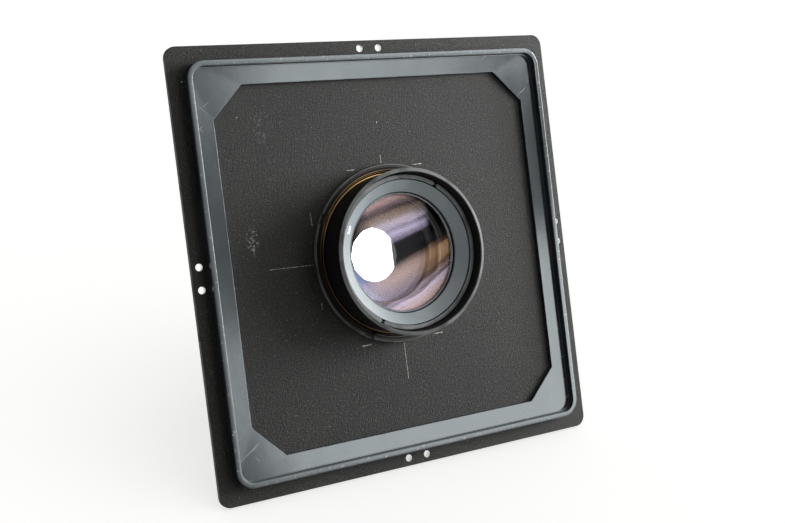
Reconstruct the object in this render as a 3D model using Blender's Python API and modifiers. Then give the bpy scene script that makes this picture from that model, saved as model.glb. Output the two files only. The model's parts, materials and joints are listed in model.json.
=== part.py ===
"""Large-format lens board with a light trap, a No. 3 leaf shutter and a lens in two cells.

The unit is modelled as it stands on a table: on the bottom edge of its board, leaning back on
the front rim of the lens. Every piece is built in the board's own frame, where X points to the
board's right, Y points up the board and Z points out of its rear face along the lens axis.
The sizes below are millimetres and degrees; MM turns them into Blender's metres.
"""
import bpy
import bmesh
from math import asin, atan2, cos, degrees, pi, radians, sin, tan

MM = 0.001
LEAN = 24.0
FULL_TURN = 360.0

# Board and light trap
BOARD_HALF = 85.5
BOARD_CORNER_R = 4.5
BOARD_THICKNESS = 2.0
BOARD_HOLE_R = 32.7
SMALL_HOLE_R = 1.35
SMALL_HOLE_PITCH = 8.5
SMALL_HOLE_OFFSET = 82.3
LOCATING_AT = (0.0, -34.4)
LOCATING_PIN_R = 0.9
LOCATING_HOLE_R = 1.2
TRAP_HALF = 79.4
TRAP_CORNER_R = 7.2
TRAP_RIM_WIDTH = 2.1
TRAP_RIM_TOP = 4.4
TRAP_FLANGE_TOP = 1.6
TRAP_OPENING_HALF = 70.1
TRAP_GUSSET_LEG = 12.7

# Fits and facets
GAP = 0.3
THIN_GAP = 0.22
SEGMENTS = 36
PIN_SIDES = 8

# Shutter, heights along the lens axis from the board's rear face
LENS_BORE_R = 23.6
TUBE_BORE_R = 29.8
MOUNT_THREAD_R = 32.2
MOUNT_TUBE_TOP = 1.0
SLEEVE_WALL = 1.6
SHUTTER_R = 51.0
SHUTTER_WALL = 1.8
SHUTTER_BACK = -BOARD_THICKNESS - GAP
SHUTTER_FRONT = -33.7
FRONT_PLATE_THICKNESS = 1.5
DECK_THICKNESS = 2.2
FRONT_TUBE_WALL = 1.4
FRONT_TUBE_BACK = -27.0
FRONT_TUBE_FRONT = -38.6
PLATE_R = SHUTTER_R - SHUTTER_WALL - GAP
RING_INNER_R = 36.9
RING_OUTER_R = 48.2
IRIS_PLATE_TOP = -12.4
THIN_PLATE = 1.0
IRIS_CAM_TOP = -19.0
IRIS_CAM_BOTTOM = -20.2
LEVER_TOP = -20.4
LEVER_BOTTOM = -21.2
SECTOR_TOP = -21.5
SECTOR_BOTTOM = -22.5
SHUTTER_PLATE_TOP = -25.5
COCKING_TOP = -27.4
COCKING_BOTTOM = -28.6
RELEASE_TOP = -29.6
RELEASE_BOTTOM = -30.8
WINDOW_CLEARANCE = 0.4
MECHANISM_TOP = -26.9
MECHANISM_BOTTOM = -31.6
CABLE_LEVEL = -29.5
SYNC_LEVEL = -16.0
SPEED_RING_TOP = -34.0
SPEED_RING_BOTTOM = -38.2
SPEED_RING_R = 52.0
SPEED_FLUTE_R = 51.2
SPEED_RING_BORE_R = 38.0
SPEED_FLUTES = 20
KEEPER_FRONT = -39.5

# Retaining ring, with the angles of its spanner slots
RETAINING_RING_R = 35.6
RETAINING_SLOT_R = 34.3
RETAINING_RING_TOP = 2.0
RETAINING_SLOTS = (152.0, 62.0, -28.0, -118.0)

# Iris
IRIS_BLADES = 12
IRIS_OPENING_R = 11.2
IRIS_SMALLEST_R = 2.5
BLADE_INNER_R = 24.0
IRIS_PIVOT_R = 38.0
IRIS_TAIL = 8.0
IRIS_BLADE_STEP = 0.42
IRIS_BLADE_THICKNESS = 0.2
IRIS_BLADE_OUTER_R = 35.0

# Shutter blades
SHUTTER_BLADES = 5
SHUTTER_PIVOT_R = 42.0
SHUTTER_TAIL = 6.0
SHUTTER_BLADE_STEP = 0.5
SHUTTER_BLADE_THICKNESS = 0.22
SHUTTER_BLADE_OUTER_R = 44.0
SHUTTER_BLADE_TURN = 34.0
SHUTTER_BLADE_RATIO = 2.0
PIN_R = 0.8
PIN_CLEARANCE = 0.3

# Lens cells
FRONT_RIM_R = 50.0
FRONT_RIM = -BOARD_THICKNESS - (BOARD_HALF - FRONT_RIM_R) / tan(radians(LEAN))
REAR_RIM = 16.5
REAR_RIM_R = 32.8
REAR_BASE_R = 31.2
CELL_THREAD_R = 29.4
CELL_BORE_R = 25.0
ELEMENT_R = 24.6
SPACER_BORE_R = 22.8
RETAINER_R = 24.7

# Where the levers and sockets stand around the lens axis, 0 at the board's right, 90 at its top
APERTURE_AT = -90.0
PREVIEW_AT = 120.0
COCKING_AT = 58.0
RELEASE_AT = 20.0
RELEASE_PIVOT_R = 44.0
CABLE_AT = 4.0
SYNC_AT = 196.0
MAINSPRING_AT = 168.0
MAINSPRING_CENTRE_R = 42.5
MAINSPRING_R = 5.2


def clear_scene():
    for item in list(bpy.data.objects):
        bpy.data.objects.remove(item, do_unlink=True)


def new_collection(name):
    group = bpy.data.collections.new(name)
    bpy.context.scene.collection.children.link(group)
    return group


def finish(name, colour, roughness, metallic=0.0, alpha=1.0):
    surface = bpy.data.materials.new(name)
    surface.use_nodes = True
    shader = surface.node_tree.nodes["Principled BSDF"]
    shader.inputs["Base Color"].default_value = (*colour, 1.0)
    shader.inputs["Roughness"].default_value = roughness
    shader.inputs["Metallic"].default_value = metallic
    shader.inputs["Alpha"].default_value = alpha
    return surface


# ---------------------------------------------------------------- outlines (lists of x, y)

def arc(centre, radius, start, end, steps):
    turn = (end - start) / steps
    angles = [radians(start + turn * i) for i in range(steps + 1)]
    return [(centre[0] + radius * cos(a), centre[1] + radius * sin(a)) for a in angles]


def circle(radius, sides=SEGMENTS, centre=(0.0, 0.0)):
    return arc(centre, radius, 0, FULL_TURN, sides)[:-1]


def at_angle(radius, angle):
    return (radius * cos(radians(angle)), radius * sin(radians(angle)))


def turned_about(point, centre, angle):
    x, y = point[0] - centre[0], point[1] - centre[1]
    c, s = cos(radians(angle)), sin(radians(angle))
    return (centre[0] + c * x - s * y, centre[1] + s * x + c * y)


def rounded_square(half, corner_r, steps=6):
    inner = half - corner_r
    corners = ((inner, inner, 0), (-inner, inner, 90), (-inner, -inner, 180), (inner, -inner, 270))
    return [p for x, y, a in corners for p in arc((x, y), corner_r, a, a + 90, steps)]


def chamfered_square(half, leg):
    near = half - leg
    corner = [(half, near), (near, half)]
    return [turned_about(p, (0, 0), 90 * i) for i in range(4) for p in corner]


def notched_circle(radius, notch_r, notches, half_angle, sides=SEGMENTS):
    """A circle whose edge steps to notch_r over each notch."""
    points = []
    step = FULL_TURN / sides
    for i in range(sides):
        angle = i * step
        if all(abs((angle - n + 180) % FULL_TURN - 180) > half_angle + 1 for n in notches):
            points.append((angle, radius))
    for n in notches:
        edges = ((-half_angle, radius), (-half_angle, notch_r), (half_angle, notch_r), (half_angle, radius))
        for order, (offset, r) in enumerate(edges):
            points.append(((n + offset) % FULL_TURN + order * 1e-6, r))
    return [at_angle(r, a) for a, r in sorted(points)]


def slot_outline(path, half_width, cap_steps=3):
    """The outline of a slot that a round pin sweeps along a path."""
    def heading(a, b):
        return degrees(atan2(b[1] - a[1], b[0] - a[0]))
    ways = [heading(path[max(i - 1, 0)], path[min(i + 1, len(path) - 1)]) for i in range(len(path))]
    left = [arc(p, half_width, w + 90, w + 90, 1)[0] for p, w in zip(path, ways)]
    right = [arc(p, half_width, w - 90, w - 90, 1)[0] for p, w in zip(path, ways)]
    end_cap = arc(path[-1], half_width, ways[-1] - 90, ways[-1] + 90, cap_steps)[1:-1]
    start_cap = arc(path[0], half_width, ways[0] + 90, ways[0] + FULL_TURN - 90, cap_steps)[1:-1]
    return right + end_cap + left[::-1] + start_cap


# ---------------------------------------------------------------- solids

class Workshop:
    """Makes objects in one collection, all riding on one leaning empty."""

    def __init__(self):
        self.parts = new_collection("lens_board_unit")
        self.cutters = new_collection("cutters")
        self.stand = bpy.data.objects.new("stand", None)
        self.parts.objects.link(self.stand)

    def place(self, name, mesh, surface, centre=(0.0, 0.0), turn=0.0):
        item = bpy.data.objects.new(name, mesh)
        if surface:
            mesh.materials.clear()
            mesh.materials.append(surface)
        self.parts.objects.link(item)
        item.parent = self.stand
        item.location = (centre[0] * MM, centre[1] * MM, 0.0)
        item.rotation_euler = (0.0, 0.0, radians(turn))
        return item

    def turn_profile(self, name, profile, surface, segments=SEGMENTS):
        """A turned piece: (radius, height) points run down its outer side."""
        mesh = bpy.data.meshes.new(name)
        points = [(r * MM, 0.0, h * MM) for r, h in profile]
        count = len(points)
        links = [(i, i + 1) for i in range(count - 1)]
        if profile[0][0] > 0:
            links.append((count - 1, 0))
        mesh.from_pydata(points, links, [])
        item = self.place(name, mesh, None)
        screw = item.modifiers.new("turn", "SCREW")
        screw.angle = 2 * pi
        screw.steps = segments
        screw.render_steps = segments
        screw.use_merge_vertices = True
        screw.merge_threshold = 1e-5
        return self.settle(item, surface)

    def flat(self, name, outlines, top, bottom, surface, centre=(0.0, 0.0), turn=0.0):
        """A flat piece: the first outline is its edge and the others are its holes."""
        curve = bpy.data.curves.new(name, "CURVE")
        curve.dimensions = "2D"
        curve.fill_mode = "BOTH"
        curve.extrude = (top - bottom) / 2 * MM
        for outline in outlines:
            spline = curve.splines.new("POLY")
            spline.points.add(len(outline) - 1)
            for point, (x, y) in zip(spline.points, outline):
                point.co = (x * MM, y * MM, 0.0, 1.0)
            spline.use_cyclic_u = True
        guide = bpy.data.objects.new(name + "_outline", curve)
        self.cutters.objects.link(guide)
        mesh = evaluated_mesh(guide)
        bpy.data.objects.remove(guide)
        lift(mesh, (top + bottom) / 2 * MM)
        mesh.name = name
        item = self.place(name, mesh, surface, centre, turn)
        return shade(item)

    def settle(self, item, surface):
        """Turns an object's modifiers into its own mesh."""
        mesh = evaluated_mesh(item)
        item.modifiers.clear()
        item.data = mesh
        mesh.materials.clear()
        mesh.materials.append(surface)
        return shade(item)

    def boolean(self, item, tool, operation):
        tool.hide_render = True
        tool.display_type = "WIRE"
        self.parts.objects.unlink(tool)
        self.cutters.objects.link(tool)
        change = item.modifiers.new(tool.name, "BOOLEAN")
        change.operation = operation
        change.object = tool

    def flat_cutter(self, item, outline, top, bottom, centre=(0.0, 0.0), turn=0.0):
        tool = self.flat(item.name + "_cutter", [outline], top, bottom, None, centre, turn)
        self.boolean(item, tool, "DIFFERENCE")


def evaluated_mesh(item):
    graph = bpy.context.evaluated_depsgraph_get()
    graph.update()
    mesh = bpy.data.meshes.new_from_object(item.evaluated_get(graph))
    cleaned = bmesh.new()
    cleaned.from_mesh(mesh)
    bmesh.ops.remove_doubles(cleaned, verts=cleaned.verts, dist=1e-6)
    cleaned.to_mesh(mesh)
    cleaned.free()
    return mesh


def lift(mesh, height):
    for vertex in mesh.vertices:
        vertex.co.z += height


def shade(item):
    item.data.shade_smooth()
    item.data.set_sharp_from_angle(angle=radians(30))
    return item


def ring(inner_r, outer_r, top, bottom):
    return [(outer_r, top), (outer_r, bottom), (inner_r, bottom), (inner_r, top)]


def lens_profile(radius, rear_edge, rear_sag, front_edge, front_sag, steps=3):
    """A round element; a positive sag bulges out of the element."""
    share = [i / steps for i in range(steps + 1)]
    rear = [(radius * s, rear_edge + rear_sag * (1 - s * s)) for s in share]
    front = [(radius * s, front_edge - front_sag * (1 - s * s)) for s in reversed(share)]
    return rear + front


# ---------------------------------------------------------------- board and light trap

def make_board(shop, black):
    pair = [(side * SMALL_HOLE_PITCH / 2, SMALL_HOLE_OFFSET) for side in (-1, 1)]
    spots = [turned_about(p, (0, 0), 90 * i) for i in range(4) for p in pair]
    holes = [circle(SMALL_HOLE_R, 10, spot) for spot in spots]
    locating_hole = circle(LOCATING_HOLE_R, 12, LOCATING_AT)
    outlines = [rounded_square(BOARD_HALF, BOARD_CORNER_R), circle(BOARD_HOLE_R), locating_hole]
    shop.flat("lens_board_plate", outlines + holes, 0.0, -BOARD_THICKNESS, black)


def make_light_trap(shop, grey):
    foot = THIN_GAP
    edge = rounded_square(TRAP_HALF, TRAP_CORNER_R)
    opening = chamfered_square(TRAP_OPENING_HALF, TRAP_GUSSET_LEG)
    tray = shop.flat("light_trap_frame", [edge, opening], TRAP_RIM_TOP, foot, grey)
    pocket = rounded_square(TRAP_HALF - TRAP_RIM_WIDTH, TRAP_CORNER_R - TRAP_RIM_WIDTH)
    shop.flat_cutter(tray, pocket, TRAP_RIM_TOP + 1, TRAP_FLANGE_TOP)


# ---------------------------------------------------------------- shutter

def make_housing(shop, paint, dark, steel):
    deck_front = SHUTTER_BACK - DECK_THICKNESS
    wall_r = SHUTTER_R - SHUTTER_WALL
    wall_front = SHUTTER_FRONT + FRONT_PLATE_THICKNESS + GAP
    inner_tube = TUBE_BORE_R + SLEEVE_WALL
    inner_tube_front = IRIS_PLATE_TOP + GAP
    profile = [
        (MOUNT_THREAD_R, MOUNT_TUBE_TOP), (MOUNT_THREAD_R, SHUTTER_BACK), (SHUTTER_R, SHUTTER_BACK),
        (SHUTTER_R, wall_front), (wall_r, wall_front), (wall_r, deck_front),
        (inner_tube, deck_front), (inner_tube, inner_tube_front),
        (TUBE_BORE_R, inner_tube_front), (TUBE_BORE_R, MOUNT_TUBE_TOP),
    ]
    housing = shop.turn_profile("shutter_housing", profile, paint)
    windows = (
        (APERTURE_AT, -23.0, 17.5, LEVER_TOP, LEVER_BOTTOM),
        (PREVIEW_AT, -4.0, 21.5, LEVER_TOP, LEVER_BOTTOM),
        (COCKING_AT, -4.0, 46.5, COCKING_TOP, COCKING_BOTTOM),
        (RELEASE_AT, -9.0, 9.0, RELEASE_TOP, RELEASE_BOTTOM),
    )
    for centre, low, high, top, bottom in windows:
        window = arc((0, 0), wall_r - 1.5, low, high, 8) + arc((0, 0), SHUTTER_R + 1.5, high, low, 8)
        shop.flat_cutter(housing, window, top + WINDOW_CLEARANCE, bottom - WINDOW_CLEARANCE, turn=centre)
    tube_r = TUBE_BORE_R + FRONT_TUBE_WALL
    plate_back = SHUTTER_FRONT + FRONT_PLATE_THICKNESS
    front = [
        (tube_r, FRONT_TUBE_BACK), (tube_r, plate_back), (SHUTTER_R, plate_back),
        (SHUTTER_R, SHUTTER_FRONT), (tube_r, SHUTTER_FRONT), (tube_r, FRONT_TUBE_FRONT),
        (TUBE_BORE_R, FRONT_TUBE_FRONT), (TUBE_BORE_R, FRONT_TUBE_BACK),
    ]
    shop.turn_profile("shutter_front_plate", front, dark)
    pin = circle(LOCATING_PIN_R, 12, LOCATING_AT)
    shop.flat("locating_screw", [pin], -GAP, 0.05 - BOARD_THICKNESS, steel)


def make_retaining_ring(shop, brass):
    edge = notched_circle(RETAINING_RING_R, RETAINING_SLOT_R, RETAINING_SLOTS, 3.2)
    bore = circle(MOUNT_THREAD_R + 0.4)
    shop.flat("retaining_ring", [edge, bore], RETAINING_RING_TOP, GAP, brass)


def blade_outline(inner_r, outer_r, pivot_r, tail, lug_r, span, tip_span):
    """A crescent that opens round the lens bore, with a lug round its pivot and its drive pin.

    The points are taken from the pivot, with the lens axis on the pivot's left.
    """
    heel = 3.0
    lens_points = arc((0, 0), outer_r, 6, span, 8)
    lens_points += arc((0, 0), inner_r, tip_span, -heel, 10)
    lens_points += arc((pivot_r, -tail), lug_r, 180, FULL_TURN, 4)
    lens_points += arc((pivot_r, 0), lug_r, 0, 100, 3)
    return [(x - pivot_r, y) for x, y in lens_points]


def drive_pin_path(pivot_r, tail, start, end, ratio, rest_turn, steps=5):
    """Where a blade's drive pin runs in the frame of the ring that drives it."""
    path = []
    for i in range(steps + 1):
        ring_turn = start + (end - start) * i / steps
        pin = turned_about((pivot_r, -tail), (pivot_r, 0), rest_turn + ratio * ring_turn)
        path.append(turned_about(pin, (0, 0), -ring_turn))
    return path


def make_blade(shop, name, outline, level, thickness, pivot, turn, pins, surface):
    """One blade at its own level, with its pivot pin and its drive pin joined to it."""
    blade = shop.flat(name, [outline], level, level - thickness, surface, pivot, turn)
    inside = level - thickness / 2
    for label, spot, end in pins:
        pin = shop.flat(name + "_" + label, [circle(PIN_R, PIN_SIDES, spot)],
                        max(inside, end), min(inside, end), surface, pivot, turn)
        shop.boolean(blade, pin, "UNION")


def iris_turn(opening_r):
    """How far a blade turns from fully open to leave an opening of this radius."""
    return degrees(2 * asin((BLADE_INNER_R - opening_r) / (2 * IRIS_PIVOT_R)))


def perforated_plate(shop, name, pivot_r, count, top, surface):
    spots = [at_angle(pivot_r, i * FULL_TURN / count) for i in range(count)]
    holes = [circle(PIN_R + PIN_CLEARANCE, PIN_SIDES, spot) for spot in spots]
    outlines = [circle(PLATE_R), circle(LENS_BORE_R)] + holes
    shop.flat(name, outlines, top, top - THIN_PLATE, surface)


def slotted_ring(shop, name, path, count, top, bottom, surface):
    slot = slot_outline(path, PIN_R + PIN_CLEARANCE)
    slots = [[turned_about(p, (0, 0), i * FULL_TURN / count) for p in slot] for i in range(count)]
    return shop.flat(name, [circle(RING_OUTER_R), circle(RING_INNER_R)] + slots, top, bottom, surface)


def make_iris(shop, blade_black, steel):
    rest = iris_turn(IRIS_OPENING_R)
    closed = iris_turn(IRIS_SMALLEST_R)
    perforated_plate(shop, "iris_pivot_plate", IRIS_PIVOT_R, IRIS_BLADES, IRIS_PLATE_TOP, steel)
    outline = blade_outline(BLADE_INNER_R, IRIS_BLADE_OUTER_R, IRIS_PIVOT_R, IRIS_TAIL,
                            lug_r=2.0, span=88, tip_span=98)
    first = IRIS_PLATE_TOP - THIN_PLATE - 0.4
    pins = (("pivot", (0, 0), IRIS_PLATE_TOP - 0.1), ("drive", (0, -IRIS_TAIL), IRIS_CAM_BOTTOM + 0.1))
    for i in range(IRIS_BLADES):
        angle = i * FULL_TURN / IRIS_BLADES
        make_blade(shop, f"iris_blade_{i + 1:02d}", outline, first - IRIS_BLADE_STEP * i,
                   IRIS_BLADE_THICKNESS, at_angle(IRIS_PIVOT_R, angle), angle + rest, pins, blade_black)
    path = drive_pin_path(IRIS_PIVOT_R, IRIS_TAIL, -rest, closed - rest, 1.0, rest)
    slotted_ring(shop, "iris_cam_ring", path, IRIS_BLADES, IRIS_CAM_TOP, IRIS_CAM_BOTTOM, steel)


def make_shutter_blades(shop, blade_black, steel):
    ring_turn = SHUTTER_BLADE_TURN / SHUTTER_BLADE_RATIO
    path = drive_pin_path(SHUTTER_PIVOT_R, SHUTTER_TAIL, 0, ring_turn, SHUTTER_BLADE_RATIO, 0)
    slotted_ring(shop, "shutter_sector_ring", path, SHUTTER_BLADES, SECTOR_TOP, SECTOR_BOTTOM, steel)
    outline = blade_outline(BLADE_INNER_R, SHUTTER_BLADE_OUTER_R, SHUTTER_PIVOT_R, SHUTTER_TAIL,
                            lug_r=1.8, span=54, tip_span=87)
    first = SECTOR_BOTTOM - 0.4
    pins = (("pivot", (0, 0), SHUTTER_PLATE_TOP - THIN_PLATE + 0.1),
            ("drive", (0, -SHUTTER_TAIL), SECTOR_TOP - 0.1))
    for i in range(SHUTTER_BLADES):
        angle = i * FULL_TURN / SHUTTER_BLADES
        make_blade(shop, f"shutter_blade_{i + 1}", outline, first - SHUTTER_BLADE_STEP * i,
                   SHUTTER_BLADE_THICKNESS, at_angle(SHUTTER_PIVOT_R, angle), angle, pins, blade_black)
    perforated_plate(shop, "shutter_pivot_plate", SHUTTER_PIVOT_R, SHUTTER_BLADES,
                     SHUTTER_PLATE_TOP, steel)


def lever_outline(foot_r, foot_angle, arm_half, tip_r, tip_half):
    """A foot that lies on a ring, an arm that leaves the case and a rounded finger tip."""
    neck = RING_OUTER_R - 1.0
    foot = arc((0, 0), foot_r, foot_angle, -foot_angle, 4)
    heel = arc((0, 0), neck, -foot_angle, -foot_angle, 1)[:1]
    toe = arc((0, 0), neck, foot_angle, foot_angle, 1)[:1]
    tip = arc((tip_r - tip_half, 0), tip_half, -90, 90, 6)
    return foot + heel + [(neck + 1.4, -arm_half), (tip_r - 3 * tip_half, -arm_half)] + tip + [
        (tip_r - 3 * tip_half, arm_half), (neck + 1.4, arm_half)] + toe


def make_levers(shop, chrome, black):
    aperture = lever_outline(foot_r=40.0, foot_angle=4.5, arm_half=1.6, tip_r=61.0, tip_half=2.4)
    shop.flat("aperture_lever", [aperture], LEVER_TOP, LEVER_BOTTOM, black, turn=APERTURE_AT)
    preview = lever_outline(foot_r=40.0, foot_angle=3.0, arm_half=1.4, tip_r=59.0, tip_half=2.0)
    shop.flat("preview_lever", [preview], LEVER_TOP, LEVER_BOTTOM, chrome, turn=PREVIEW_AT)
    collar_bore = TUBE_BORE_R + FRONT_TUBE_WALL + 0.6
    collar = arc((0, 0), 36.0, 6, FULL_TURN - 6, SEGMENTS)
    arm = [(61.0, -2.2), (64.0, -1.0), (64.0, 1.0), (61.0, 2.2)]
    shop.flat("cocking_lever", [collar + arm, circle(collar_bore)], COCKING_TOP, COCKING_BOTTOM, chrome,
              turn=COCKING_AT)
    beak = [(-5.5, -1.0), (-1.8, -2.0), (9.0, -1.8), (13.5, -3.2), (18.0, -2.2), (19.0, 0.0),
            (18.0, 2.2), (13.5, 3.2), (9.0, 1.8), (-1.8, 2.0), (-5.5, 1.0)]
    shop.flat("release_lever", [beak, circle(1.2, PIN_SIDES)], RELEASE_TOP, RELEASE_BOTTOM, chrome,
              at_angle(RELEASE_PIVOT_R, RELEASE_AT), RELEASE_AT)


def sector_outline(inner_r, outer_r, low, high, steps=10):
    return arc((0, 0), outer_r, low, high, steps) + arc((0, 0), inner_r, high, low, steps)


def make_mechanism(shop, brass, steel, satin):
    drum = circle(MAINSPRING_R, 20, at_angle(MAINSPRING_CENTRE_R, MAINSPRING_AT))
    shop.flat("mainspring_drum", [drum], MECHANISM_TOP, MECHANISM_BOTTOM, brass)
    cassette = sector_outline(inner_r=37.5, outer_r=48.4, low=210, high=320)
    shop.flat("retard_cassette", [cassette], MECHANISM_TOP, MECHANISM_BOTTOM, steel)
    scale = sector_outline(SHUTTER_R + GAP, SHUTTER_R + 1.0, APERTURE_AT - 28, APERTURE_AT + 28)
    shop.flat("aperture_scale", [scale], -22.6, -27.0, satin)


def socket(shop, name, profile, surface, angle, height):
    """A small turned fitting that stands out of the case wall along a radius."""
    piece = shop.turn_profile(name, profile, surface, 16)
    piece.rotation_euler = (0.0, radians(90), radians(angle))
    piece.location = (0.0, 0.0, height * MM)


def make_sockets(shop, chrome):
    seat = SHUTTER_R + GAP
    cable = [(2.8, seat + 8.0), (2.8, seat), (0.7, seat), (0.7, seat + 3.0), (1.6, seat + 8.0)]
    sync = [(3.2, seat + 5.0), (3.2, seat), (1.0, seat), (1.0, seat + 2.0), (2.4, seat + 2.0),
            (2.4, seat + 5.0)]
    socket(shop, "cable_release_socket", cable, chrome, CABLE_AT, CABLE_LEVEL)
    socket(shop, "flash_sync_socket", sync, chrome, SYNC_AT, SYNC_LEVEL)


def make_speed_ring(shop, black, chrome):
    flutes = [i * FULL_TURN / SPEED_FLUTES for i in range(SPEED_FLUTES)]
    edge = notched_circle(SPEED_RING_R, SPEED_FLUTE_R, flutes, 4.0, 2 * SPEED_FLUTES)
    shop.flat("speed_ring", [edge, circle(SPEED_RING_BORE_R)], SPEED_RING_TOP, SPEED_RING_BOTTOM, black)
    hub, bore, flange = SPEED_RING_BORE_R - 0.4, TUBE_BORE_R + FRONT_TUBE_WALL + 0.4, KEEPER_FRONT + 1.0
    keeper = [(hub, SPEED_RING_TOP), (hub, flange), (40.5, flange), (40.5, KEEPER_FRONT),
              (bore, KEEPER_FRONT), (bore, SPEED_RING_TOP)]
    shop.turn_profile("speed_ring_retainer", keeper, chrome)


# ---------------------------------------------------------------- lens cells

def make_rear_cell(shop, black, satin, glass):
    barrel = [
        (31.3, REAR_RIM), (REAR_RIM_R, REAR_RIM - 0.6), (REAR_BASE_R, 1.4), (CELL_THREAD_R, 1.4),
        (CELL_THREAD_R, -11.5), (CELL_BORE_R, -11.5), (CELL_BORE_R, -1.2), (26.9, -1.2), (26.9, 6.9),
        (28.8, 9.9), (30.8, 9.9), (30.8, 12.6),
    ]
    shop.turn_profile("rear_barrel", barrel, black)
    notches = [circle(30.4), notched_circle(28.8, 29.7, (58.0, 239.0), 2.0)]
    shop.flat("rear_lock_ring", notches, 12.2, 11.3, black)
    cone = [(28.5, 11.5), (28.5, 10.4), (24.0, 7.4), (24.0, 8.3)]
    shop.turn_profile("rear_name_ring", cone, satin)
    keeper = [(23.7, 7.2), (23.9, 6.8), (26.6, 6.8), (26.6, 6.2), (23.0, 6.2), (23.0, 7.2)]
    shop.turn_profile("rear_glass_retainer", keeper, satin)
    shop.turn_profile("rear_outer_glass", lens_profile(26.5, 5.0, 3.4, -0.6, -1.0), glass)
    shop.turn_profile("rear_spacer", ring(SPACER_BORE_R, RETAINER_R, -0.9, -1.9), black)
    shop.turn_profile("rear_inner_glass", lens_profile(ELEMENT_R, -2.2, -1.2, -8.0, -1.6), glass)
    shop.turn_profile("rear_inner_retainer", ring(SPACER_BORE_R, RETAINER_R, -8.3, -10.8), black)


def make_front_cell(shop, black, satin, glass):
    barrel = [
        (CELL_THREAD_R, -27.5), (CELL_THREAD_R, -39.8), (40.5, -39.8), (46.5, -46.0), (46.5, -70.4),
        (43.6, -70.4), (43.6, -54.0), (34.0, -54.0), (34.0, -43.0), (23.4, -43.0), (23.4, -36.9),
        (CELL_BORE_R, -36.9), (CELL_BORE_R, -27.5),
    ]
    shop.turn_profile("front_barrel", barrel, black)
    rim = [
        (FRONT_RIM_R - 0.8, -60.5), (FRONT_RIM_R, -61.5), (FRONT_RIM_R, FRONT_RIM),
        (47.6, FRONT_RIM), (46.8, FRONT_RIM + 0.8), (46.8, -60.5),
    ]
    shop.turn_profile("front_filter_ring", rim, black)
    cone = [(41.2, -70.9), (46.4, -73.4), (46.4, -75.2), (41.2, -72.0)]
    shop.turn_profile("front_name_ring", cone, black)
    shop.flat("front_lock_ring", [circle(43.2), notched_circle(40.9, 41.9, (20.0, 200.0), 2.0)],
              -68.4, -70.0, black)
    shop.turn_profile("front_outer_glass", lens_profile(43.2, -58.8, -3.5, -66.4, 4.4), glass)
    spacer = [(43.2, -54.3), (43.2, -58.4), (40.8, -58.4), (31.0, -50.8), (33.6, -50.8), (33.6, -54.3)]
    shop.turn_profile("front_spacer", spacer, black)
    shop.turn_profile("front_middle_glass", lens_profile(33.6, -43.4, -1.5, -50.4, -3.0), glass)
    shop.turn_profile("front_inner_glass", lens_profile(ELEMENT_R, -31.4, -1.4, -36.5, -1.4), glass)
    shop.turn_profile("front_inner_retainer", ring(SPACER_BORE_R, RETAINER_R, -28.6, -31.1), black)


# ---------------------------------------------------------------- the whole unit

def stand_on_floor(stand):
    """Leans the unit back and puts the bottom centre of its bounding box at the origin."""
    lean = radians(LEAN)

    def world(y, h):
        return (y * sin(lean) - h * cos(lean), y * cos(lean) + h * sin(lean))
    floor = world(-BOARD_HALF, -BOARD_THICKNESS)[1]
    back = world(FRONT_RIM_R, FRONT_RIM)[0]
    near = world(-TRAP_HALF, TRAP_RIM_TOP)[0]
    stand.rotation_euler = (radians(90 - LEAN), 0.0, 0.0)
    stand.location = (0.0, -(back + near) / 2 * MM, -floor * MM)


def main():
    clear_scene()
    shop = Workshop()
    crackle = finish("crackle_black", (0.035, 0.034, 0.032), 0.75)
    trap_grey = finish("trap_grey", (0.10, 0.115, 0.13), 0.38, 0.2)
    black = finish("satin_black", (0.02, 0.02, 0.021), 0.35)
    matte = finish("blade_black", (0.03, 0.03, 0.032), 0.5, 0.5)
    paint = finish("shutter_paint", (0.025, 0.025, 0.027), 0.45)
    chrome = finish("satin_chrome", (0.62, 0.62, 0.64), 0.28, 1.0)
    steel = finish("steel", (0.45, 0.45, 0.46), 0.4, 1.0)
    brass = finish("brass", (0.55, 0.38, 0.16), 0.35, 1.0)
    satin = finish("satin_grey", (0.22, 0.24, 0.26), 0.32, 0.6)
    glass = finish("coated_glass", (0.35, 0.30, 0.42), 0.03, 0.0, 0.4)
    make_board(shop, crackle)
    make_light_trap(shop, trap_grey)
    make_retaining_ring(shop, brass)
    make_housing(shop, paint, black, steel)
    make_iris(shop, matte, steel)
    make_shutter_blades(shop, matte, steel)
    make_levers(shop, chrome, black)
    make_mechanism(shop, brass, steel, satin)
    make_sockets(shop, chrome)
    make_speed_ring(shop, black, chrome)
    make_rear_cell(shop, black, satin, glass)
    make_front_cell(shop, black, satin, glass)
    stand_on_floor(shop.stand)


main()
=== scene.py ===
import json
import bmesh
import bpy
from math import atan2, cos, hypot, pi, radians, sin, tan
from mathutils import Matrix, Vector, noise


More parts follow.
